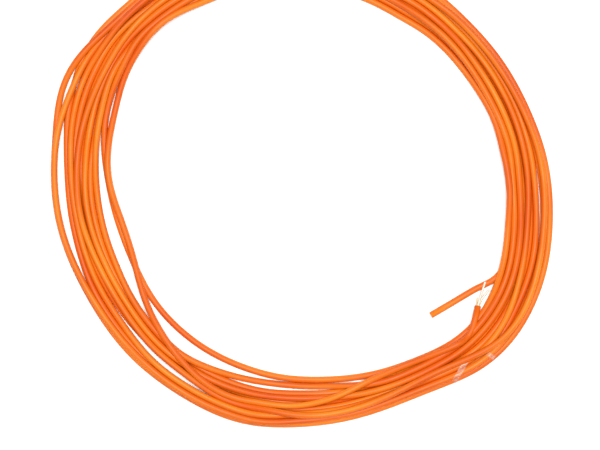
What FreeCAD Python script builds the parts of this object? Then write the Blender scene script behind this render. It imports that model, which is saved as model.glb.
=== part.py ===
import FreeCAD, Part

import math
import os

V = FreeCAD.Vector

# An eight metre coil of round two-fibre cord, lying flat, with one end cut square and one end stripped.
# Millimetres. The origin is the centre of the base of the coil's box, +Z is up, and the coil lies in XY.

# The cord, from the outside in.
JACKET_OD = 3.0
JACKET_ID = 2.0
BUFFER_OD = 0.9
COATING_OD = 0.25
FIBRE_OD = 0.125
YARN_OD = 0.3
NESTING_GAP = 0.01            # radial, between a piece and the one that sheathes it

BUFFER_LIFT = 0.48            # the two buffered fibres lie one above the other, this far off the cord's axis
YARN_PLACES = [(0.78, 0.0), (0.66, 0.33), (0.66, -0.33), (-0.78, 0.0), (-0.66, 0.33), (-0.66, -0.33)]

# The coil's outline: angle in degrees, then its inner and outer radius. Its turns fan out on the left
# and are drawn together where the tie holds them, at about 310 degrees.
COIL_OUTLINE = [
    (0, 95.0, 117.4), (15, 93.6, 113.6), (30, 91.2, 110.6), (52, 91.2, 109.7), (75, 92.9, 111.2),
    (97, 96.2, 114.3), (118, 98.5, 117.2), (135, 99.9, 120.5), (150, 96.7, 121.9), (165, 92.8, 120.5),
    (180, 89.3, 117.3), (198, 84.3, 115.1), (214, 86.4, 114.9), (232, 87.6, 114.2), (251, 88.8, 115.8),
    (270, 91.1, 113.3), (285, 91.4, 112.0), (299, 93.9, 111.3), (306, 96.0, 114.6), (314, 100.4, 121.0),
    (326, 101.9, 122.9), (338, 99.2, 122.2), (350, 96.2, 119.4),
]
LAYER_RISE = 2.75             # from one layer of turns to the next that lies in its hollows
LAYER_INSETS = [0.0, 2.2, 4.9]
EDGE_RADIUS = 1.2
NOTCH_CLEARANCE = 0.3         # round each free stretch where it leaves the coil

# The tie crosses the coil in an upright plane, from its outer edge to its inner edge.
TIE_OUTER = V(72.1, -91.3, 0)
TIE_INNER = V(80.2, -70.2, 0)
TIE_WIDTH = 2.4
TIE_THICKNESS = 0.35
TIE_REACH = 8.0               # how far the cutting slab runs past the coil on each side

# The two free stretches, from inside the coil to the end of the jacket.
CUT_END_ROUTE = [V(92.6, -43.5, 1.5), V(81.6, -48.4, 1.5), V(71.3, -54.8, 1.5), V(60.6, -61.0, 1.5)]
STRIPPED_END_ROUTE = [V(78.3, -75.0, 5.4), V(80.9, -65.9, 4.3), V(82.6, -56.6, 3.2)]

# Past the stripped jacket the two buffered fibres spread, one over the other free stretch.
FIBRE_A_SPREAD = [V(84.1, -50.9, 3.62), V(86.1, -45.2, 3.55)]
FIBRE_B_SPREAD = [V(84.9, -52.6, 2.6), V(87.8, -49.0, 2.5)]
YARN_BARE_LENGTH = 3.0


def smoothed(points, name=None):
    """A wire of straight runs joined by tangent arcs, each as large as its two runs allow."""
    edges, start = [], points[0]
    for before, corner, after in zip(points, points[1:], points[2:]):
        back, on = before - corner, after - corner
        reach = 0.45 * min(back.Length, on.Length)
        back.normalize()
        on.normalize()
        half_turn = (math.pi - back.getAngle(on)) / 2
        radius = reach / math.tan(half_turn)
        inward = (back + on).normalize()
        leave, join = corner + back * reach, corner + on * reach
        middle = corner + inward * (radius / math.cos(half_turn) - radius)
        edges.append(Part.LineSegment(start, leave).toShape())
        edges.append(Part.Arc(leave, middle, join).toShape())
        start = join
        if name:
            print(f"{name}: arc radius {radius:.1f}, turn {2 * math.degrees(half_turn):.1f} degrees")
    edges.append(Part.LineSegment(start, points[-1]).toShape())
    return Part.Wire(edges)


def bar(points, diameter, name=None):
    """A round bar along a route."""
    path = smoothed(points, name)
    first = points[1] - points[0]
    circle = Part.Wire([Part.makeCircle(diameter / 2, points[0], first)])
    solid = path.makePipeShell([circle], True, False)
    if name:
        exact = math.pi * diameter ** 2 / 4 * path.Length
        print(f"{name}: length {path.Length:.2f}, volume {solid.Volume:.3f}, section x length {exact:.3f}")
    return solid


def tube(points, outside, inside, name=None):
    return bar(points, outside, name).cut(bar(points, inside))


def beside(points, sideways, up):
    """The route moved sideways, at right angles to its run in plan, and up."""
    moved = []
    for i, point in enumerate(points):
        runs = [b - a for a, b in zip(points[max(i - 1, 0):i + 2], points[max(i - 1, 0) + 1:i + 2])]
        normals = [V(-run.y, run.x, 0).normalize() for run in runs]
        normal = normals[0] if len(normals) == 1 else (normals[0] + normals[1]).normalize()
        mitre = sideways / normal.dot(normals[0])
        moved.append(point + normal * mitre + V(0, 0, up))
    return moved


def ring_edge(stations):
    """A closed smooth outline through (angle, radius) stations."""
    curve = Part.BSplineCurve()
    places = [V(r * math.cos(math.radians(a)), r * math.sin(math.radians(a)), 0) for a, r in stations]
    curve.interpolate(places, PeriodicFlag=True)
    return Part.Wire([curve.toShape()])


def coil_layer(inset, bottom, top):
    """One layer of turns: the coil's outline drawn in by inset on both sides, with a rounded top edge."""
    outer = ring_edge([(a, r_out - inset) for a, _, r_out in COIL_OUTLINE])
    inner = ring_edge([(a, r_in + inset) for a, r_in, _ in COIL_OUTLINE])
    plate = Part.Face(outer).cut(Part.Face(inner))
    slab = plate.extrude(V(0, 0, top - bottom))
    top_edges = [e for e in slab.Edges if abs(e.BoundBox.ZMin - (top - bottom)) < 1e-3]
    slab = slab.makeFillet(EDGE_RADIUS, top_edges)
    slab.translate(V(0, 0, bottom))
    return slab


def notch(route, skin):
    """The square trench in which a free stretch leaves the coil. Its end wall meets the cord's end face."""
    side = JACKET_OD + 2 * (NOTCH_CLEARANCE + skin)
    run = route[1] - route[0]
    trench = Part.makeBox(run.Length + skin, side, side, V(-skin, -side / 2, -side / 2))
    trench.rotate(V(0, 0, 0), V(0, 1, 0), -math.degrees(math.atan2(run.z, math.hypot(run.x, run.y))))
    trench.rotate(V(0, 0, 0), V(0, 0, 1), math.degrees(math.atan2(run.y, run.x)))
    trench.translate(route[0])
    return trench


def coil_body(skin=0.0):
    """The outer shape of the whole coil, drawn in by skin all round."""
    tops = [JACKET_OD + LAYER_RISE * i for i in range(len(LAYER_INSETS))]
    layers = [coil_layer(inset + skin, skin, top - skin) for inset, top in zip(LAYER_INSETS, tops)]
    body = layers[0].fuse(layers[1:]).removeSplitter()
    return body.cut([notch(CUT_END_ROUTE, skin), notch(STRIPPED_END_ROUTE, skin)])


def tie_slab():
    """An upright slab as wide as the tie, across the coil."""
    across = TIE_INNER - TIE_OUTER
    length = across.Length + 2 * TIE_REACH
    across.normalize()
    height = JACKET_OD + LAYER_RISE * len(LAYER_INSETS)
    slab = Part.makeBox(length, TIE_WIDTH, height, V(-TIE_REACH, -TIE_WIDTH / 2, 0))
    slab.rotate(V(0, 0, 0), V(0, 0, 1), math.degrees(math.atan2(across.y, across.x)))
    slab.translate(TIE_OUTER)
    return slab


def cord_pieces(prefix, route, fibre_routes, yarn_routes):
    """Everything in one free stretch of the cord."""
    pieces = {f"{prefix}_jacket": tube(route, JACKET_OD, JACKET_ID, f"{prefix}_jacket")}
    for letter, way in zip("ab", fibre_routes):
        pieces[f"{prefix}_buffer_{letter}"] = tube(way, BUFFER_OD, COATING_OD + 2 * NESTING_GAP)
        pieces[f"{prefix}_coating_{letter}"] = tube(way, COATING_OD, FIBRE_OD + 2 * NESTING_GAP)
        pieces[f"{prefix}_fibre_{letter}"] = bar(way, FIBRE_OD)
    pieces[f"{prefix}_yarn"] = Part.makeCompound([bar(way, YARN_OD) for way in yarn_routes])
    return pieces


def cut_end():
    """Cut square: the jacket, the yarn and the fibres all end in one face."""
    fibres = [beside(CUT_END_ROUTE, 0, BUFFER_LIFT), beside(CUT_END_ROUTE, 0, -BUFFER_LIFT)]
    yarns = [beside(CUT_END_ROUTE, side, up) for side, up in YARN_PLACES]
    return cord_pieces("cut_end", CUT_END_ROUTE, fibres, yarns)


def stripped_end():
    """The jacket ends first, then the yarn, and the two buffered fibres run on and spread."""
    upper = beside(STRIPPED_END_ROUTE, 0, BUFFER_LIFT) + FIBRE_A_SPREAD
    lower = beside(STRIPPED_END_ROUTE, 0, -BUFFER_LIFT) + FIBRE_B_SPREAD
    last_run = (STRIPPED_END_ROUTE[-1] - STRIPPED_END_ROUTE[-2]).normalize()
    bared = STRIPPED_END_ROUTE[:-1] + [STRIPPED_END_ROUTE[-1] + last_run * YARN_BARE_LENGTH]
    yarns = [beside(bared, side, up) for side, up in YARN_PLACES]
    return cord_pieces("stripped_end", STRIPPED_END_ROUTE, [upper, lower], yarns)


def build():
    whole_coil = coil_body()
    tie = whole_coil.common(tie_slab()).cut(coil_body(TIE_THICKNESS))
    nodes = {"coil": whole_coil.cut(tie), "tie": tie}
    nodes.update(cut_end())
    nodes.update(stripped_end())
    return nodes


os.makedirs("parts", exist_ok=True)
nodes = build()
for name, shape in nodes.items():
    box = shape.BoundBox
    print(f"{name:26s} valid {shape.isValid()} solids {len(shape.Solids)} volume {shape.Volume:10.3f} "
          f"x {box.XMin:.2f} {box.XMax:.2f} y {box.YMin:.2f} {box.YMax:.2f} z {box.ZMin:.2f} {box.ZMax:.2f}")
    shape.exportStep(f"parts/{name}.step")
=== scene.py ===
import math

import bmesh
import bpy
import numpy as np
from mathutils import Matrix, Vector


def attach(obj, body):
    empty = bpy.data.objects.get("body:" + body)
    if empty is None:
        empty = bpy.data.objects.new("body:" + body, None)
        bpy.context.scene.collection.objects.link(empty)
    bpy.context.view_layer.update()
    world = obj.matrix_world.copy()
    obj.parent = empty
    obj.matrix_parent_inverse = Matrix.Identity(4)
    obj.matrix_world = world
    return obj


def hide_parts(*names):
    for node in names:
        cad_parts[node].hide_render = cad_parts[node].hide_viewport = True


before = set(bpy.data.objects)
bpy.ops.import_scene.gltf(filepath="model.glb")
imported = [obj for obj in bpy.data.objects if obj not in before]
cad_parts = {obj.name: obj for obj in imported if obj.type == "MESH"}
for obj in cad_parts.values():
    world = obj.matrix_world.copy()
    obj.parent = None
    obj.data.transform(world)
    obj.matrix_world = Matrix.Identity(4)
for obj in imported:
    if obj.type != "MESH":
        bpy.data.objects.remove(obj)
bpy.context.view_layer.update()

MM = 0.001

# The cord, in metres, from the outside in.
JACKET_OD = 3.0 * MM
JACKET_ID = 2.0 * MM
BUFFER_OD = 0.9 * MM
COATING_OD = 0.25 * MM
FIBRE_OD = 0.125 * MM
NESTING_GAP = 0.01 * MM
BUFFER_LIFT = 0.48            # millimetres that each buffered fibre lies above or below the cord's axis
CUT_EDGE = 0.03               # how much a cut edge is eased, as a share of the diameter
JACKET_SIDES = 18
BUFFER_SIDES = 20
FINE_SIDES = 12               # of the coatings and the glass
CORD_POINTS = 2               # points along the cord for each point of its route
FIBRE_POINTS = 12             # the same along a fibre past the stripped jacket

# The yarn round the fibres: its strands' places across the cord in millimetres, and their filaments.
YARN_PLACES = [(0.78, 0.0), (0.66, 0.33), (0.66, -0.33), (-0.78, 0.0), (-0.66, 0.33), (-0.66, -0.33)]
FILAMENTS = 7
FILAMENT_OD = 0.07 * MM
FILAMENT_SIDES = 6
YARN_BARE_LENGTH = 4.5        # millimetres past the stripped jacket
YARN_BARE_STEPS = 8
STRAND_SPREAD = 0.1           # millimetres that a filament may lie off its strand's place
UNEVEN_ENDS = 0.7             # the most that a filament may fall short, as a share of the bare length
FAN_OUT = (0.9, 0.5)          # how much further apart the strands are at the yarn's tip
STRAY = 0.9                   # the most that a filament's tip strays, in millimetres
YARN_SEED = 7

# The coil's turns. Angles are degrees anticlockwise from +X about the ring's own centre. Radii and heights
# are millimetres.
RING_CENTRE = (0.6, 0.1)
STATIONS_PER_TURN = 120
FIRST_ANGLE = 333.0           # where the first turn takes over from the cut end's free stretch
LAST_ANGLE = 315.0            # where the last turn becomes the stripped end's free stretch
SEAM_ANGLE = 90.0             # each turn is counted from here, at the top of the ring
CONTACT = 1.01 * JACKET_OD / MM
UNSEEN = (52, 129)            # the angles that the photo cuts off
UNSEEN_HOLD = 0.03
LANE_SMOOTHING = 2

# How the turns are let down. They fall fast at first and then slowly, and then settle.
DROP_GAP = 3.4                # height between one turn and the next before they are let down
STACK_SMOOTHING = 200
DROP_STEPS = 900
FAST_SHARE = 0.6              # the share of the steps in which they fall fast
FAST_DROP = 0.12
SLOW_DROP = 0.04
DROP_STIFFNESS = (0.6, 0.9)   # of a turn against bending sideways and upwards
DROP_SWEEPS = 3
SETTLE_STEPS = 60
SETTLE_STIFFNESS = (0.4, 0.5)
SETTLE_SWEEPS = 4
PUSH_SHARE = 0.45             # how much of an overlap each of two turns gives way in one sweep

# The furthest out that any turn's centreline goes, as (angle, radius).
OUTER_EDGE = [(0, 115.0), (10, 112.5), (20, 110.4), (30, 109.4), (45, 108.6), (60, 109.4), (75, 110.6),
              (90, 112.3), (112, 115.5), (129, 119.0), (135, 130.0), (355, 130.0)]

# The free stretches at the cord's two ends, in millimetres: from the cut end to the coil, and from the
# coil to the end of the stripped jacket. The second one passes through the turn inner_edge_left near 318
# degrees, by about 2 mm.
CUT_END_ROUTE = [(60.6, -61.0, 1.5), (71.3, -54.8, 1.5), (81.6, -48.4, 1.5)]
STRIPPED_END_ROUTE = [(76.9, -71.9, 5.1), (79.4, -68.4, 4.9), (80.9, -64.3, 4.5), (82.6, -56.6, 3.2)]
CUT_END_BORE = 36.5           # how much of each end is hollow, with its yarn and fibres inside
STRIPPED_END_BORE = 16.6

# Past the stripped jacket the two buffered fibres spread, one over the other free stretch.
FIBRE_A_SPREAD = [(84.1, -50.9, 3.62), (86.1, -45.2, 3.55)]
FIBRE_B_SPREAD = [(84.9, -52.6, 2.6), (87.8, -49.0, 2.5)]

# The clear film that ties the coil, in millimetres. It goes round the lower turns only.
TIE_OUTER = (71.4, -92.2)
TIE_INNER = (77.9, -80.5)
TIE_WIDTH = 2.6
TIE_END = [(85.3, -77.6), (90.3, -81.0)]
TIE_END_WIDTH = 2.0
TIE_SLACK = 0.35              # 0 is stretched tight over the turns, 1 follows every hollow
TIE_END_SLACK = 0.6
FILM_THICKNESS = 0.12
FILM_STEPS = 90               # points along the film
FILM_COLUMNS = 9              # points across it
RIPPLE_HEIGHT = 0.04
RIPPLE_ALONG = 2.1            # radians for each millimetre along the film
RIPPLE_ACROSS = 1.7
FILM_ALPHA = (0.09, 0.22)
LOWER_TURNS = 8              # the turns that the film goes over, counted from the first

# The jacket's orange, and how far it drifts along the cord.
JACKET_DEEP = (0.64, 0.084, 0.004)
JACKET_COLOUR = (0.78, 0.152, 0.007)
JACKET_PALE = (0.88, 0.245, 0.013)

# The studio, in metres and watts.
FLOOR_SIZE = 6.0
FLOOR_SQUARES = 8
FLOOR_GAP = 0.00002
SKY_STRENGTH = 0.24
SOFTBOXES = [("overhead", (0.05, 0.12, 2.3), 0.9, 70.0)]
SENSOR_WIDTH = 36.0
CAMERA_HEIGHT = 1.4
VIEW_WIDTH = 0.28125          # at the height below
FOCUS_HEIGHT = 0.0035
VIEW_CENTRE = (-0.00082, -0.01863)

# Each turn's lane as (angle, radius), read off the photo and then adjusted. Later turns lie on earlier
# ones. The hold says how firmly a turn keeps its lane when its neighbours press on it.
TURNS = [
    ("first", 0.90, [
        (333, 99.6), (334.5, 101.9), (336, 102.9), (338, 103.1), (340, 102.6), (345, 101.0), (350, 99.2),
        (355, 97.9), (360, 96.9), (370, 96.4), (380, 96.6), (390, 96.0), (412, 96.0)]),
    ("under_inner", 0.08, [
        (129, 102.4), (140, 102.4), (145, 102.8), (150, 102.8), (155, 102.0), (160, 101.0), (165, 100.0),
        (172, 99.5), (178, 99.4), (190, 99.0), (205, 98.5), (220, 98.4), (235, 99.6), (250, 99.9),
        (255, 99.3), (260, 98.7), (265, 98.0), (270, 97.6), (274, 97.6), (282, 99.6), (290, 101.6),
        (298, 103.0), (305, 104.0), (315, 106.0), (325, 106.2), (330, 105.9), (335, 105.5), (340, 105.0),
        (345, 103.6), (350, 102.0), (355, 100.4), (360, 99.2), (370, 98.4), (380, 98.0), (390, 97.0),
        (412, 96.6)]),
    ("under_middle", 0.08, [
        (129, 108.6), (145, 109.2), (150, 109.2), (155, 108.5), (160, 107.5), (165, 106.4), (178, 104.7),
        (190, 103.2), (205, 102.2), (220, 101.3), (235, 101.8), (250, 103.6), (270, 103.1), (290, 102.6),
        (305, 105.0), (315, 108.8), (325, 109.2), (330, 108.9), (335, 108.6), (340, 108.0), (345, 106.6),
        (350, 105.0), (355, 103.4), (360, 102.2), (370, 101.2), (390, 99.9), (412, 98.0)]),
    ("middle_a", 0.15, [
        (129, 110.4), (140, 111.3), (150, 112.3), (160, 110.9), (172, 108.3), (178, 106.6), (190, 104.5),
        (205, 103.6), (220, 101.5), (230, 102.0), (240, 102.9), (250, 104.1), (260, 104.5), (274, 104.1),
        (290, 103.6), (305, 106.4), (315, 111.1), (325, 112.2), (330, 112.0), (335, 111.6), (340, 111.0),
        (345, 109.6), (350, 107.9), (355, 106.4), (360, 105.2), (370, 104.0), (390, 102.0), (412, 99.8)]),
    ("outer_b", 0.30, [
        (129, 116.4), (134, 117.8), (140, 119.0), (145, 120.1), (148, 119.7), (150, 118.8), (153, 117.6),
        (155, 116.9), (160, 115.7), (163, 115.3), (165, 114.7), (170, 112.3), (175, 110.9), (180, 109.9),
        (185, 109.4), (200, 109.2), (210, 109.7), (220, 109.9), (230, 110.2), (240, 110.2), (250, 110.8),
        (260, 110.2), (270, 109.0), (280, 108.4), (290, 107.6), (300, 108.6), (305, 110.4), (309, 112.8),
        (312, 115.8), (315, 117.2), (320, 117.4), (325, 116.6), (330, 115.4), (335, 114.7), (340, 114.0),
        (345, 112.7), (350, 110.6), (352, 109.8), (355, 108.9), (360, 107.7), (365, 107.4), (370, 107.0),
        (380, 106.6), (390, 105.2), (412, 103.1)]),
    ("outer_loop", 0.30, [
        (129, 114.4), (134, 115.5), (140, 116.5), (145, 117.4), (148, 118.4), (150, 120.2), (152, 122.1),
        (154.5, 123.4), (157, 122.9), (160, 121.6), (165, 119.2), (170, 117.6), (175, 117.2), (180, 116.9),
        (190, 115.6), (200, 113.9), (205, 113.0), (210, 112.6), (230, 113.0), (240, 112.5), (245, 113.3),
        (250, 114.1), (255, 113.9), (260, 113.2), (265, 112.0), (270, 111.3), (280, 111.1), (285, 110.3),
        (294, 109.2), (300, 110.6), (305, 112.8), (309, 115.0), (311.5, 118.7), (315, 119.8), (320, 120.7),
        (330, 120.9), (335, 120.6), (340, 119.5), (345, 118.0), (350, 116.6), (360, 114.6), (370, 112.4),
        (380, 110.2), (390, 109.2), (400, 108.1), (412, 107.9)]),
    ("beside_loop", 0.25, [
        (129, 113.0), (134, 113.8), (140, 114.8), (145, 115.6), (150, 116.4), (155, 116.4), (160, 117.0),
        (163, 118.0), (167, 118.1), (170, 117.7), (175, 116.9), (180, 116.4), (190, 115.3), (200, 113.4),
        (205, 112.4), (210, 111.8), (240, 111.6), (250, 112.5), (260, 111.6), (270, 109.9), (280, 109.7),
        (290, 108.3), (300, 109.2), (305, 111.1), (309, 113.5), (312, 116.5), (315, 118.1), (320, 119.1),
        (330, 118.6), (335, 118.0), (340, 117.2), (345, 116.0), (350, 114.9), (355, 113.9), (360, 113.1),
        (365, 112.0), (370, 110.6), (380, 108.8), (390, 107.6), (412, 106.4)]),
    ("middle_b", 0.25, [
        (129, 113.9), (134, 113.9), (145, 115.3), (150, 115.5), (155, 114.4), (160, 113.0), (165, 111.8),
        (172, 109.9), (178, 108.3), (190, 107.1), (200, 106.6), (213, 106.8), (220, 107.2), (226, 108.6),
        (230, 109.4), (240, 109.0), (245, 110.2), (260, 109.2), (270, 107.3), (280, 106.9), (290, 106.2),
        (300, 107.8), (305, 109.2), (309, 111.6), (312, 113.4), (315, 114.8), (320, 115.5), (325, 114.8),
        (330, 113.0), (335, 111.1), (340, 109.0), (345, 107.6), (350, 106.3), (360, 105.5), (370, 104.8),
        (380, 103.6), (390, 102.7), (412, 101.5)]),
    ("top_sweep", 0.30, [
        (129, 107.8), (140, 108.3), (145, 107.7), (165, 106.7), (178, 106.4), (190, 105.5), (195, 104.1),
        (200, 102.5), (205, 102.0), (220, 102.0), (226, 102.8), (238, 104.1), (243, 105.2), (250, 106.6),
        (256, 107.6), (270, 108.0), (280, 107.8), (290, 106.4), (300, 106.4), (304, 107.1), (308, 108.3),
        (312, 110.4), (315, 112.7), (318, 116.0), (321, 118.6), (325, 119.4), (330, 119.0), (335, 118.1),
        (345, 115.8), (350, 114.5), (355, 113.4), (365, 112.3), (370, 110.9), (375, 109.5), (380, 108.3),
        (390, 107.1), (400, 106.1), (412, 105.9)]),
    ("middle_c", 0.20, [
        (129, 105.6), (140, 105.6), (145, 106.0), (150, 105.9), (155, 105.2), (160, 104.4), (165, 103.4),
        (178, 102.7), (190, 101.5), (205, 99.8), (220, 99.6), (240, 101.2), (250, 101.0), (270, 100.1),
        (280, 101.2), (300, 102.7), (308, 104.5), (315, 107.8), (325, 108.3), (330, 108.3), (335, 107.6),
        (340, 105.9), (345, 104.3), (350, 102.7), (360, 101.2), (380, 99.4), (390, 98.4), (400, 98.2),
        (412, 98.9)]),
    ("inner_edge_left", 0.30, [
        (129, 104.1), (140, 104.3), (150, 103.1), (155, 102.0), (160, 100.5), (165, 99.4), (172, 98.7),
        (178, 97.4), (190, 95.9), (205, 95.8), (215, 96.6), (226, 98.0), (235, 98.5), (240, 97.4),
        (245, 96.4), (250, 95.4), (255, 94.7), (260, 94.1), (265, 93.7), (270, 93.4), (275, 93.7),
        (279, 94.6), (283, 97.0), (290, 99.1), (294, 100.8), (302, 101.3), (308, 102.7), (315, 105.9),
        (330, 105.7), (340, 104.1), (350, 100.5), (355, 99.3), (370, 97.5), (380, 96.8), (390, 95.9),
        (412, 95.9)]),
    ("inner_loop", 0.35, [
        (129, 102.7), (140, 102.9), (145, 101.8), (150, 101.3), (155, 100.4), (160, 98.8), (165, 96.4),
        (170, 94.4), (175, 92.6), (180, 90.8), (185, 89.8), (190, 88.5), (195, 87.7), (205, 87.2),
        (210, 87.9), (215, 88.6), (235, 89.4), (245, 89.7), (255, 90.0), (260, 90.5), (265, 91.4),
        (270, 92.2), (280, 92.6), (285, 93.3), (290, 94.5), (295, 96.1), (305, 98.0), (310, 100.8),
        (315, 103.6), (320, 104.3), (325, 104.4), (330, 103.6), (335, 102.3), (340, 100.8), (345, 99.3),
        (350, 98.0), (360, 96.8), (370, 96.2), (380, 95.2), (385, 94.1), (390, 93.5), (400, 92.8),
        (412, 93.8)]),
    ("last", 0.45, [
        (129, 101.2), (145, 100.6), (150, 97.6), (155, 95.2), (160, 94.3), (165, 93.9), (170, 93.0),
        (175, 92.3), (180, 90.9), (185, 88.3), (190, 86.9), (195, 86.0), (200, 85.9), (205, 86.7),
        (210, 88.5), (213, 89.8), (216, 91.5), (219, 93.2), (222, 94.7), (226, 96.2), (230, 97.5),
        (235, 99.4), (240, 102.0), (245, 103.6), (250, 105.1), (256, 105.9), (262, 105.4), (270, 103.1),
        (275, 101.5), (280, 99.8), (285, 98.1), (290, 96.6), (295, 96.0), (300, 96.9), (305, 98.6),
        (308, 100.3), (310, 101.6), (312, 102.9), (315, 104.4)]),
]


# ---------------------------------------------------------------- the coil's turns

def smoothed(values, passes):
    """Evens out the values that it is given, in place."""
    for _ in range(passes):
        values[1:-1] = values[1:-1] / 2 + (values[:-2] + values[2:]) / 4
    return values


def stiffened(values, amount):
    """Bending stiffness: each point moves against the cord's fourth difference."""
    bend = values[:-4] - 4 * values[1:-3] + 6 * values[2:-2] - 4 * values[3:-1] + values[4:]
    out = values.copy()
    out[2:-2] -= amount * bend / 16
    return out


def lanes():
    """The angle, the lane's radius, the hold and the coil's outer limit at each station along the turns."""
    step = 360 / STATIONS_PER_TURN
    whole = 360 * (len(TURNS) - 1)
    angle = np.arange(FIRST_ANGLE, whole + LAST_ANGLE + step / 2, step)
    known = [(a + 360 * i, r, hold) for i, (_, hold, lane) in enumerate(TURNS) for a, r in lane]
    at, radius, hold = (np.array(column) for column in zip(*known))
    radius = smoothed(np.interp(angle, at, radius), LANE_SMOOTHING)
    clock = angle % 360
    unseen = (clock > UNSEEN[0]) & (clock < UNSEEN[1])
    hold = np.where(unseen, UNSEEN_HOLD, np.interp(angle, at, hold))
    return angle, radius, hold, np.interp(clock, *zip(*OUTER_EDGE), period=360)


def let_down():
    """Stacks the turns above one another, each in its lane, and lets them down on the floor and on each
    other. Turns press on each other in the ring's cross-section at each station. Nothing keeps them apart
    between stations: outer_b and outer_loop pass through each other near 94 degrees, and so do beside_loop
    and middle_b near 112."""
    angle, lane, hold, edge = lanes()
    turn = (angle - SEAM_ANGLE) // 360
    first = int(round((angle[0] - SEAM_ANGLE) * STATIONS_PER_TURN / 360))
    rows = len(TURNS) + 1
    cell = np.full(rows * STATIONS_PER_TURN, -1)
    cell[first:first + len(angle)] = np.arange(len(angle))
    cell = cell.reshape(rows, STATIONS_PER_TURN)
    used = cell >= 0
    target = cell[used]
    far = 1e6 * (1 + np.arange(rows))[:, None]
    radius = lane.copy()
    height = smoothed(CONTACT / 2 + DROP_GAP * turn, STACK_SMOOTHING)

    def pushed_apart(radius, height, sweeps):
        for _ in range(sweeps):
            across = np.where(used, radius[cell], far)
            up = np.where(used, height[cell], 0)
            d_across = across[:, None] - across[None]
            d_up = up[:, None] - up[None]
            apart = np.maximum(np.hypot(d_across, d_up), 1e-6)
            press = np.clip(CONTACT - apart, 0, None)
            press[np.arange(rows), np.arange(rows)] = 0
            share = PUSH_SHARE / np.maximum(1, np.sqrt((press > 0).sum(1)))
            radius, height = radius.copy(), height.copy()
            radius[target] += ((press * d_across / apart).sum(1) * share)[used]
            height[target] += ((press * d_up / apart).sum(1) * share)[used]
            height = np.maximum(height, CONTACT / 2)
        return radius, height

    sideways, upwards = DROP_STIFFNESS
    for step in range(DROP_STEPS):
        height = height - (FAST_DROP if step < FAST_SHARE * DROP_STEPS else SLOW_DROP)
        radius = radius + hold * (lane - radius)
        radius = stiffened(radius, sideways)
        height = stiffened(stiffened(height, upwards), upwards)
        radius, height = pushed_apart(np.minimum(radius, edge), height, DROP_SWEEPS)
    sideways, upwards = SETTLE_STIFFNESS
    for _ in range(SETTLE_STEPS):
        radius, height = stiffened(radius, sideways), stiffened(height, upwards)
        radius, height = pushed_apart(radius, height, SETTLE_SWEEPS)
    return angle, radius, height


def ring_places(angle, radius, height):
    x = RING_CENTRE[0] + radius * np.cos(np.radians(angle))
    y = RING_CENTRE[1] + radius * np.sin(np.radians(angle))
    return np.stack([x, y, height], 1).tolist()


# ---------------------------------------------------------------- tubes along a line

def metres(points):
    return [tuple(c * MM for c in p) for p in points]


def nurbs_line(points, resolution):
    """The points that Blender itself puts along a NURBS spline with these control points."""
    curve = bpy.data.curves.new("route", "CURVE")
    curve.dimensions = "3D"
    spline = curve.splines.new("NURBS")
    spline.points.add(len(points) - 1)
    for place, point in zip(points, spline.points):
        point.co = (*place, 1)
    spline.order_u = 3
    spline.use_endpoint_u = True
    spline.resolution_u = resolution
    holder = bpy.data.objects.new("route", curve)
    bpy.context.scene.collection.objects.link(holder)
    bpy.context.view_layer.update()
    mesh = bpy.data.meshes.new_from_object(holder.evaluated_get(bpy.context.evaluated_depsgraph_get()))
    line = np.array([v.co for v in mesh.vertices])
    bpy.data.objects.remove(holder)
    bpy.data.curves.remove(curve)
    bpy.data.meshes.remove(mesh)
    return line


def travelled(line):
    return np.concatenate([[0], np.cumsum(np.linalg.norm(np.diff(line, axis=0), axis=1))])


def unit(vectors):
    return vectors / np.linalg.norm(vectors, axis=-1, keepdims=True)


def frames_along(line):
    """Two directions across the line at each point, which turn as little as possible along it."""
    along = unit(np.gradient(line, axis=0))
    side = unit(np.cross(along[0], (0, 0, 1)))
    sides = []
    for direction in along:
        side = side - direction * np.dot(side, direction)
        side = side / np.linalg.norm(side)
        sides.append(side)
    return np.array(sides), np.cross(along, sides)


def part_of(line, start, end):
    """The line between two distances along it."""
    far = travelled(line)
    places = np.concatenate([[start], far[(far > start) & (far < end)], [end]])
    return np.stack([np.interp(places, far, line[:, axis]) for axis in range(3)], 1)


def moved_beside(line, sideways, upward):
    side, up = frames_along(line)
    return line + side * np.asarray(sideways)[..., None] + up * np.asarray(upward)[..., None]


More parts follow.
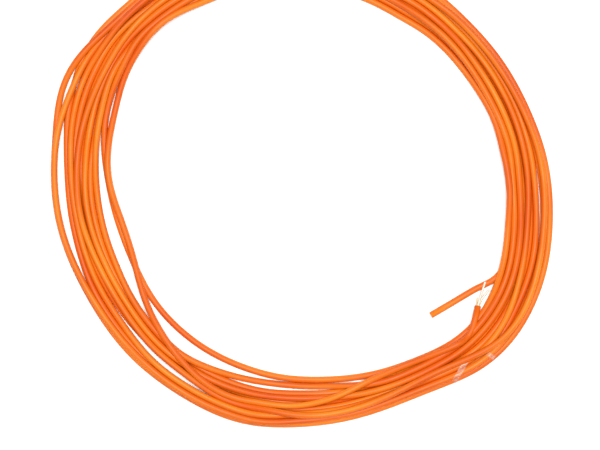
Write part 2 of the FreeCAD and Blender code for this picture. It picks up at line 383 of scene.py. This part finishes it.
def sleeve(name, line, rings, sides, closed):
    """A surface through rings (distance along the line, radius), with its two ends capped or, if closed,
    joined to each other. Its UV map holds the place round the line and, in metres, the place along it."""
    far = travelled(line)
    side, up = frames_along(line)
    place = np.array([d for d, _ in rings])
    radius = np.array([r for _, r in rings])[:, None, None]
    centre, side, up = (np.stack([np.interp(place, far, values[:, axis]) for axis in range(3)], 1)
                        for values in (line, side, up))
    turn = np.arange(sides)[None, :, None] * 2 * math.pi / sides
    spokes = np.cos(turn) * unit(side)[:, None] + np.sin(turn) * unit(up)[:, None]
    vertices = (centre[:, None] + radius * spokes).reshape(-1, 3)
    count = len(rings)
    ring = np.arange(count if closed else count - 1)[:, None]
    after_ring = (ring + 1) % count
    k = np.arange(sides)[None]
    after = (k + 1) % sides
    quads = np.stack([ring * sides + k, ring * sides + after, after_ring * sides + after,
                      after_ring * sides + k], 2).reshape(-1, 4)
    uv = np.zeros((len(ring), sides, 4, 2))
    uv[..., 0] = np.stack([k[0], k[0] + 1, k[0] + 1, k[0]], 1)[None] / sides
    uv[..., :2, 1] = place[ring][..., None]
    uv[..., 2:, 1] = place[after_ring][..., None]
    faces = quads.tolist()
    corners = [uv.reshape(-1)]
    if not closed:
        last = (count - 1) * sides
        faces += [list(range(sides - 1, -1, -1)), list(range(last, last + sides))]
        corners += [np.array([(0.5, place[0])] * sides + [(0.5, place[-1])] * sides).reshape(-1)]
    mesh = bpy.data.meshes.new(name)
    mesh.from_pydata(vertices.tolist(), [], faces)
    mesh.polygons.foreach_set("use_smooth", [True] * len(mesh.polygons))
    mesh.uv_layers.new(name="cord").data.foreach_set("uv", np.concatenate(corners))
    mesh.update()
    piece = bpy.data.objects.new(name, mesh)
    bpy.context.scene.collection.objects.link(piece)
    return piece


def outer_rings(far, outside):
    """The rings of a cord's outside, with both of its end edges eased."""
    ease = CUT_EDGE * outside
    middle = [(d, outside / 2) for d in far if ease < d < far[-1] - ease]
    return ([(0, outside / 2 - ease), (ease, outside / 2)] + middle
            + [(far[-1] - ease, outside / 2), (far[-1], outside / 2 - ease)])


def inner_rings(far, outside, inside, start, end):
    """The bore's rings from one distance along it to another."""
    ease = CUT_EDGE * outside
    low, high = max(min(start, end), ease), min(max(start, end), far[-1] - ease)
    rings = [(low, inside / 2)] + [(d, inside / 2) for d in far if low < d < high] + [(high, inside / 2)]
    if min(start, end) == 0:
        rings.insert(0, (0, inside / 2 + ease))
    if max(start, end) == far[-1]:
        rings.append((far[-1], inside / 2 + ease))
    return rings if start < end else rings[::-1]


def rod(name, line, outside, sides):
    return sleeve(name, line, outer_rings(travelled(line), outside), sides, False)


def pipe(name, line, outside, inside, sides):
    """A tube that is open right through."""
    far = travelled(line)
    rings = outer_rings(far, outside) + inner_rings(far, outside, inside, far[-1], 0)
    return sleeve(name, line, rings, sides, True)


def joined(name, pieces):
    """One object made of several separate closed pieces."""
    mesh = bmesh.new()
    for piece in pieces:
        mesh.from_mesh(piece.data)
    result = bpy.data.meshes.new(name)
    mesh.to_mesh(result)
    mesh.free()
    for piece in pieces:
        bpy.data.meshes.remove(piece.data)
    obj = bpy.data.objects.new(name, result)
    bpy.context.scene.collection.objects.link(obj)
    return obj


# ---------------------------------------------------------------- the pieces

def jacket(line):
    """The whole cord's jacket: a tube with a bore run in from each cut end."""
    far = travelled(line)
    cut_bore = inner_rings(far, JACKET_OD, JACKET_ID, CUT_END_BORE * MM, 0)
    outside = outer_rings(far, JACKET_OD)
    stripped_bore = inner_rings(far, JACKET_OD, JACKET_ID, far[-1], far[-1] - STRIPPED_END_BORE * MM)
    piece = sleeve("cord_jacket", line, cut_bore + outside + stripped_bore, JACKET_SIDES, False)
    piece.data.materials.append(jacket_material())
    piece.data.materials.append(cut_face_material())
    outer_start = len(cut_bore)
    outer_end = outer_start + len(outside) - 1
    shades = np.ones(len(piece.data.polygons), int)
    shades[outer_start * JACKET_SIDES:outer_end * JACKET_SIDES] = 0
    piece.data.polygons.foreach_set("material_index", shades)
    return piece


def fibre(prefix, letter, line):
    """One buffered fibre: its glass, the coating round that and the tight buffer round both."""
    in_buffer, in_coating = COATING_OD + 2 * NESTING_GAP, FIBRE_OD + 2 * NESTING_GAP
    buffer = pipe(f"{prefix}_buffer_{letter}_skin", line, BUFFER_OD, in_buffer, BUFFER_SIDES)
    coating = pipe(f"{prefix}_coating_{letter}_skin", line, COATING_OD, in_coating, FINE_SIDES)
    glass = rod(f"{prefix}_fibre_{letter}_core", line, FIBRE_OD, FINE_SIDES)
    for piece, material, slot, node in ((buffer, BUFFER, "buffer_natural", "buffer"),
                                        (coating, COATING, "fibre_coating", "coating"),
                                        (glass, GLASS, "silica_glass", "fibre")):
        piece.data.materials.append(material)
        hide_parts(f"{prefix}_{node}_{letter}")
    return [buffer, coating, glass]


def yarn(prefix, line, bare, rng):
    """Strands of fine straight filaments round the fibres. Those past the jacket's end fan out."""
    filaments = []
    if bare:
        reach = unit(line[-1] - line[-2])
        beyond = line[-1] + reach * np.linspace(0, 1, YARN_BARE_STEPS + 1)[1:, None] * bare
        line = np.concatenate([line, beyond])
    far = travelled(line)
    jacket_end = far[-1] - bare
    for place in YARN_PLACES:
        for _ in range(FILAMENTS):
            sideways, upward = np.array(place) + rng.uniform(-STRAND_SPREAD, STRAND_SPREAD, 2)
            length = far[-1] - bare * rng.uniform(0.0, UNEVEN_ENDS)
            way = part_of(line, 0, length)
            loose = np.clip(travelled(way) - jacket_end, 0, None) / max(bare, 1e-9)
            drift = rng.uniform(-STRAY, STRAY, 2)
            sideways = sideways * (1 + FAN_OUT[0] * loose ** 1.5) + drift[0] * loose ** 2
            upward = upward * (1 + FAN_OUT[1] * loose) + drift[1] * loose ** 2
            fanned = moved_beside(way, sideways * MM, upward * MM)
            filaments.append(rod("filament", fanned, FILAMENT_OD, FILAMENT_SIDES))
    piece = joined(f"{prefix}_yarn_filaments", filaments)
    piece.data.polygons.foreach_set("use_smooth", [True] * len(piece.data.polygons))
    piece.data.materials.append(YARN)
    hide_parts(f"{prefix}_yarn")
    return piece


def roof(turns, x, y):
    """How high the lower turns reach at a place. Millimetres."""
    angle, radius, height = turns
    dx, dy = x - RING_CENTRE[0], y - RING_CENTRE[1]
    passes = np.arange(LOWER_TURNS) * 360 + math.degrees(math.atan2(dy, dx)) % 360
    passes = passes[(passes >= angle[0]) & (passes <= angle[-1])]
    off = math.hypot(dx, dy) - np.interp(passes, angle, radius)
    rise = (JACKET_OD / MM / 2) ** 2 - off ** 2
    tops = np.interp(passes, angle, height)[rise > 0] + np.sqrt(rise[rise > 0])
    return max(tops, default=0)


def taut(places, heights):
    """A film pulled tight over a profile: its upper convex hull."""
    hull = []
    for place, height in zip(places, heights):
        while len(hull) > 1 and ((hull[-1][0] - hull[-2][0]) * (height - hull[-2][1])
                                 >= (hull[-1][1] - hull[-2][1]) * (place - hull[-2][0])):
            hull.pop()
        hull.append((place, height))
    return np.interp(places, *zip(*hull))


def film_over(turns, start, end, width, slack, back_under):
    """A film laid over the lower turns from start to end: a grid of points along it and across it. With
    back_under it goes down at both ends and returns along the floor, as a band."""
    start, end = np.array(start), np.array(end)
    length = np.linalg.norm(end - start)
    along = (end - start) / length
    across = np.array([-along[1], along[0]])
    steps = np.linspace(0, length, FILM_STEPS)
    columns = []
    for place in np.linspace(-width / 2, width / 2, FILM_COLUMNS):
        ground = start + along * steps[:, None] + across * place
        heights = np.array([roof(turns, x, y) for x, y in ground])
        if back_under:
            heights[[0, -1]] = 0
        heights = slack * heights + (1 - slack) * taut(steps, heights) + FILM_THICKNESS
        heights += RIPPLE_HEIGHT * np.sin(steps * RIPPLE_ALONG + place * RIPPLE_ACROSS)
        rows = np.column_stack([ground, heights])
        if back_under:
            under = np.column_stack([ground[::-1], np.full(FILM_STEPS, FILM_THICKNESS)])
            rows = np.concatenate([rows, under])
        columns.append(rows)
    return np.stack(columns, 1) * MM


def film(name, grid, is_band):
    """A film of real thickness on a grid of points. A band's rows close round."""
    rows, columns = grid.shape[:2]
    if is_band:
        along = np.roll(grid, -1, 0) - np.roll(grid, 1, 0)
    else:
        along = np.gradient(grid, axis=0)
    normal = unit(np.cross(along, np.gradient(grid, axis=1)))
    inner = grid - normal * FILM_THICKNESS * MM * (-1 if normal[rows // 4, columns // 2, 2] < 0 else 1)
    vertices = np.concatenate([grid.reshape(-1, 3), inner.reshape(-1, 3)])
    mesh = bmesh.new()
    points = [mesh.verts.new(v) for v in vertices]

    def at(row, column, is_inner):
        return points[(row % rows) * columns + column + (rows * columns if is_inner else 0)]

    for row in range(rows if is_band else rows - 1):
        for column in range(columns - 1):
            for is_inner in (False, True):
                mesh.faces.new((at(row, column, is_inner), at(row + 1, column, is_inner),
                                at(row + 1, column + 1, is_inner), at(row, column + 1, is_inner)))
        for edge in (0, columns - 1):
            mesh.faces.new((at(row, edge, False), at(row + 1, edge, False),
                            at(row + 1, edge, True), at(row, edge, True)))
    if not is_band:
        for edge in (0, rows - 1):
            for column in range(columns - 1):
                mesh.faces.new((at(edge, column, False), at(edge, column + 1, False),
                                at(edge, column + 1, True), at(edge, column, True)))
    bmesh.ops.recalc_face_normals(mesh, faces=mesh.faces)
    data = bpy.data.meshes.new(name)
    mesh.to_mesh(data)
    mesh.free()
    data.polygons.foreach_set("use_smooth", [True] * len(data.polygons))
    piece = bpy.data.objects.new(name, data)
    bpy.context.scene.collection.objects.link(piece)
    return piece


def tie(turns):
    """The clear film band round the lower turns, with its loose end. The upper turns lie over it."""
    band = film("band", film_over(turns, TIE_OUTER, TIE_INNER, TIE_WIDTH, TIE_SLACK, True), True)
    end = film("end", film_over(turns, *TIE_END, TIE_END_WIDTH, TIE_END_SLACK, False), False)
    piece = joined("tie_film", [band, end])
    piece.data.polygons.foreach_set("use_smooth", [True] * len(piece.data.polygons))
    piece.data.materials.append(FILM)
    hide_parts("tie")
    return piece


# ---------------------------------------------------------------- materials

def material(name):
    made = bpy.data.materials.new(name)
    made.use_nodes = True
    tree = made.node_tree
    return made, tree, tree.nodes["Principled BSDF"]


def node(tree, kind, **sockets):
    made = tree.nodes.new(kind)
    for name, value in sockets.items():
        made.inputs[name.replace("_", " ")].default_value = value
    return made


def calculated(tree, operation, *values):
    made = tree.nodes.new("ShaderNodeMath")
    made.operation = operation
    for socket, value in zip(made.inputs, values):
        if isinstance(value, (int, float)):
            socket.default_value = value
        else:
            tree.links.new(value, socket)
    return made.outputs[0]


def round_and_along(tree, round_scale, along_scale):
    """Coordinates that wrap round the cord without a seam and run along it in metres."""
    split = tree.nodes.new("ShaderNodeSeparateXYZ")
    uv = tree.nodes.new("ShaderNodeUVMap")
    uv.uv_map = "cord"
    tree.links.new(uv.outputs[0], split.inputs[0])
    turn = calculated(tree, "MULTIPLY", split.outputs[0], 2 * math.pi)
    merge = tree.nodes.new("ShaderNodeCombineXYZ")
    for direction, socket in (("COSINE", merge.inputs[0]), ("SINE", merge.inputs[1])):
        wave = calculated(tree, direction, turn)
        tree.links.new(calculated(tree, "MULTIPLY", wave, round_scale), socket)
    tree.links.new(calculated(tree, "MULTIPLY", split.outputs[1], along_scale), merge.inputs[2])
    return merge.outputs[0]


def noise(tree, vector, scale, detail=4, roughness=0.55):
    made = node(tree, "ShaderNodeTexNoise", Scale=scale, Detail=detail, Roughness=roughness)
    tree.links.new(vector, made.inputs["Vector"])
    return made.outputs["Fac"]


def ramp(tree, factor, stops):
    made = tree.nodes.new("ShaderNodeValToRGB")
    tree.links.new(factor, made.inputs[0])
    elements = made.color_ramp.elements
    while len(elements) < len(stops):
        elements.new(0.5)
    for element, (place, colour) in zip(elements, stops):
        element.position = place
        element.color = (*colour, 1)
    return made.outputs[0]


def grey_ramp(tree, factor, low, high, start=0.3, end=0.7):
    return ramp(tree, factor, [(start, (low,) * 3), (end, (high,) * 3)])


def multiplied(tree, first, second, amount):
    mix = tree.nodes.new("ShaderNodeMix")
    mix.data_type = "RGBA"
    mix.blend_type = "MULTIPLY"
    mix.inputs["Factor"].default_value = amount
    tree.links.new(first, mix.inputs["A"])
    tree.links.new(second, mix.inputs["B"])
    return mix.outputs["Result"]


def bumped(tree, shader, heights, strength, distance):
    made = node(tree, "ShaderNodeBump", Strength=strength, Distance=distance)
    tree.links.new(heights, made.inputs["Height"])
    tree.links.new(made.outputs[0], shader.inputs["Normal"])


def jacket_material():
    """Satin orange PVC: patches where the colour drifts along the cord, fine lines drawn out by the die,
    a slight orange peel, and duller places where it has been handled."""
    made, tree, shader = material("jacket_orange")
    drift = noise(tree, round_and_along(tree, 0.25, 14), 1.0, 3)
    lines = noise(tree, round_and_along(tree, 5.0, 4), 1.0, 5, 0.65)
    peel = noise(tree, round_and_along(tree, 1.6, 1100), 1.0, 3)
    handled = noise(tree, round_and_along(tree, 0.8, 55), 1.0, 5, 0.6)
    colour = ramp(tree, drift, [(0.3, JACKET_DEEP), (0.5, JACKET_COLOUR), (0.7, JACKET_PALE)])
    colour = multiplied(tree, colour, grey_ramp(tree, lines, 0.86, 1.0), 0.6)
    colour = multiplied(tree, colour, grey_ramp(tree, handled, 0.93, 1.0), 0.7)
    tree.links.new(colour, shader.inputs["Base Color"])
    tree.links.new(grey_ramp(tree, handled, 0.36, 0.52), shader.inputs["Roughness"])
    shader.inputs["Specular IOR Level"].default_value = 0.20
    shader.inputs["Subsurface Weight"].default_value = 0.12
    shader.inputs["Subsurface Radius"].default_value = (1.0, 0.35, 0.1)
    shader.inputs["Subsurface Scale"].default_value = 0.0008
    line_share = calculated(tree, "MULTIPLY", lines, 0.6)
    peel_share = calculated(tree, "MULTIPLY", peel, 0.4)
    bumped(tree, shader, calculated(tree, "ADD", line_share, peel_share), 0.25, 0.00006)
    return made


def cut_face_material():
    """The jacket's cut ends and bore: paler and matt, with the marks of the blade."""
    made, tree, shader = material("jacket_cut")
    where = tree.nodes.new("ShaderNodeTexCoord").outputs["Object"]
    marks = noise(tree, where, 2600, 4)
    tree.links.new(ramp(tree, marks, [(0.3, (0.70, 0.22, 0.06)), (0.7, (0.86, 0.36, 0.13))]),
                   shader.inputs["Base Color"])
    tree.links.new(grey_ramp(tree, marks, 0.55, 0.8), shader.inputs["Roughness"])
    bumped(tree, shader, marks, 0.4, 0.00005)
    return made


def buffer_material():
    """Natural tight buffer: milky, slightly translucent, with faint lines along it."""
    made, tree, shader = material("buffer_natural")
    lines = noise(tree, round_and_along(tree, 2.5, 60), 1.0, 4)
    tree.links.new(ramp(tree, lines, [(0.3, (0.60, 0.54, 0.42)), (0.7, (0.80, 0.75, 0.62))]),
                   shader.inputs["Base Color"])
    tree.links.new(grey_ramp(tree, lines, 0.28, 0.42), shader.inputs["Roughness"])
    shader.inputs["Subsurface Weight"].default_value = 0.35
    shader.inputs["Subsurface Radius"].default_value = (1.0, 0.9, 0.7)
    shader.inputs["Subsurface Scale"].default_value = 0.0006
    bumped(tree, shader, lines, 0.15, 0.00003)
    return made


def coating_material():
    made, tree, shader = material("fibre_coating")
    lines = noise(tree, round_and_along(tree, 1.5, 200), 1.0, 3)
    tree.links.new(ramp(tree, lines, [(0.3, (0.72, 0.75, 0.78)), (0.7, (0.84, 0.86, 0.88))]),
                   shader.inputs["Base Color"])
    tree.links.new(grey_ramp(tree, lines, 0.15, 0.28), shader.inputs["Roughness"])
    shader.inputs["Coat Weight"].default_value = 0.4
    return made


def glass_material():
    made, tree, shader = material("silica_glass")
    lines = noise(tree, round_and_along(tree, 1.0, 90), 1.0, 2)
    tree.links.new(ramp(tree, lines, [(0.3, (0.86, 0.93, 0.96)), (0.7, (0.95, 0.98, 1.0))]),
                   shader.inputs["Base Color"])
    tree.links.new(grey_ramp(tree, lines, 0.02, 0.06), shader.inputs["Roughness"])
    shader.inputs["Transmission Weight"].default_value = 0.9
    shader.inputs["IOR"].default_value = 1.458
    return made


def yarn_material():
    """Aramid filaments: golden yellow with a silky sheen along them."""
    made, tree, shader = material("aramid_yarn")
    where = tree.nodes.new("ShaderNodeTexCoord").outputs["Object"]
    shades = noise(tree, where, 1800, 3)
    tree.links.new(ramp(tree, shades, [(0.3, (0.62, 0.44, 0.13)), (0.7, (0.86, 0.70, 0.30))]),
                   shader.inputs["Base Color"])
    tree.links.new(grey_ramp(tree, shades, 0.35, 0.5), shader.inputs["Roughness"])
    shader.inputs["Anisotropic"].default_value = 0.6
    shader.inputs["Sheen Weight"].default_value = 0.3
    return made


def film_material():
    """Clear film, slightly milky, with fine creases. Its pale orange colour is painted light: the orange of
    the turns seen through the film.
    """
    made, tree, shader = material("clear_film")
    where = tree.nodes.new("ShaderNodeTexCoord").outputs["Object"]
    haze_and_tint = noise(tree, where, 700, 4)
    creases = noise(tree, where, 1900, 5, 0.7)
    # Painted light: the ramp's pale orange stands in for the orange turns showing through the film, which
    # itself is clear.
    tree.links.new(ramp(tree, haze_and_tint, [(0.3, (0.86, 0.66, 0.50)), (0.7, (0.94, 0.80, 0.66))]),
                   shader.inputs["Base Color"])
    tree.links.new(grey_ramp(tree, haze_and_tint, FILM_ALPHA[0], FILM_ALPHA[1]), shader.inputs["Alpha"])
    tree.links.new(grey_ramp(tree, creases, 0.08, 0.3), shader.inputs["Roughness"])
    shader.inputs["IOR"].default_value = 1.57
    bumped(tree, shader, creases, 0.35, 0.0001)
    return made


def floor_material():
    made, tree, shader = material("white_table")
    where = tree.nodes.new("ShaderNodeTexCoord").outputs["Object"]
    tree.links.new(grey_ramp(tree, noise(tree, where, 3, 2), 0.93, 0.95), shader.inputs["Base Color"])
    shader.inputs["Roughness"].default_value = 0.9
    shader.inputs["Specular IOR Level"].default_value = 0.1
    return made


# ---------------------------------------------------------------- the studio

def floor():
    mesh = bmesh.new()
    bmesh.ops.create_grid(mesh, x_segments=FLOOR_SQUARES, y_segments=FLOOR_SQUARES, size=FLOOR_SIZE / 2)
    data = bpy.data.meshes.new("floor")
    mesh.to_mesh(data)
    mesh.free()
    plane = bpy.data.objects.new("floor", data)
    bpy.context.scene.collection.objects.link(plane)
    plane.location.z = -FLOOR_GAP
    data.materials.append(floor_material())


def softbox(name, place, size, power):
    light = bpy.data.lights.new(name, "AREA")
    light.shape = "SQUARE"
    light.size = size
    light.energy = power
    lamp = bpy.data.objects.new(name, light)
    bpy.context.scene.collection.objects.link(lamp)
    lamp.location = place
    lamp.rotation_euler = (Vector((0, 0, 0)) - Vector(place)).to_track_quat("-Z", "Y").to_euler()


def studio():
    """Soft white light from all round and above, and the camera straight over the coil."""
    scene = bpy.context.scene
    scene.view_settings.view_transform = "Standard"
    world = bpy.data.worlds.new("studio")
    world.use_nodes = True
    world.node_tree.nodes["Background"].inputs["Color"].default_value = (1, 1, 1, 1)
    world.node_tree.nodes["Background"].inputs["Strength"].default_value = SKY_STRENGTH
    scene.world = world
    for light in SOFTBOXES:
        softbox(*light)
    camera = bpy.data.cameras.new("camera")
    camera.sensor_width = SENSOR_WIDTH
    camera.lens = SENSOR_WIDTH * (CAMERA_HEIGHT - FOCUS_HEIGHT) / VIEW_WIDTH
    holder = bpy.data.objects.new("camera", camera)
    scene.collection.objects.link(holder)
    holder.location = (*VIEW_CENTRE, CAMERA_HEIGHT)
    scene.camera = holder


# ---------------------------------------------------------------- the part

studio()
floor()

BUFFER, COATING, GLASS = buffer_material(), coating_material(), glass_material()
YARN, FILM = yarn_material(), film_material()

turns = let_down()
coil = ring_places(*turns)
route = metres(CUT_END_ROUTE + coil + STRIPPED_END_ROUTE)
cord_line = nurbs_line(route, CORD_POINTS)
cord_length = travelled(cord_line)[-1]

cut_line = part_of(cord_line, 0, CUT_END_BORE * MM)
stripped_line = part_of(cord_line, cord_length - STRIPPED_END_BORE * MM, cord_length)
rng = np.random.default_rng(YARN_SEED)

cord = jacket(cord_line)
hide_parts("coil", "cut_end_jacket", "stripped_end_jacket")

pieces = [tie(turns)]
for letter, lift in (("a", BUFFER_LIFT), ("b", -BUFFER_LIFT)):
    pieces += fibre("cut_end", letter, moved_beside(cut_line, 0, lift * MM))
pieces.append(yarn("cut_end", cut_line, 0, rng))
for letter, lift, spread in (("a", BUFFER_LIFT, FIBRE_A_SPREAD), ("b", -BUFFER_LIFT, FIBRE_B_SPREAD)):
    lifted = [(x, y, z + lift) for x, y, z in STRIPPED_END_ROUTE]
    pieces += fibre("stripped_end", letter, nurbs_line(metres(lifted + spread), FIBRE_POINTS))
pieces.append(yarn("stripped_end", stripped_line, YARN_BARE_LENGTH * MM, rng))

for piece in [cord] + pieces:
    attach(piece, "root")
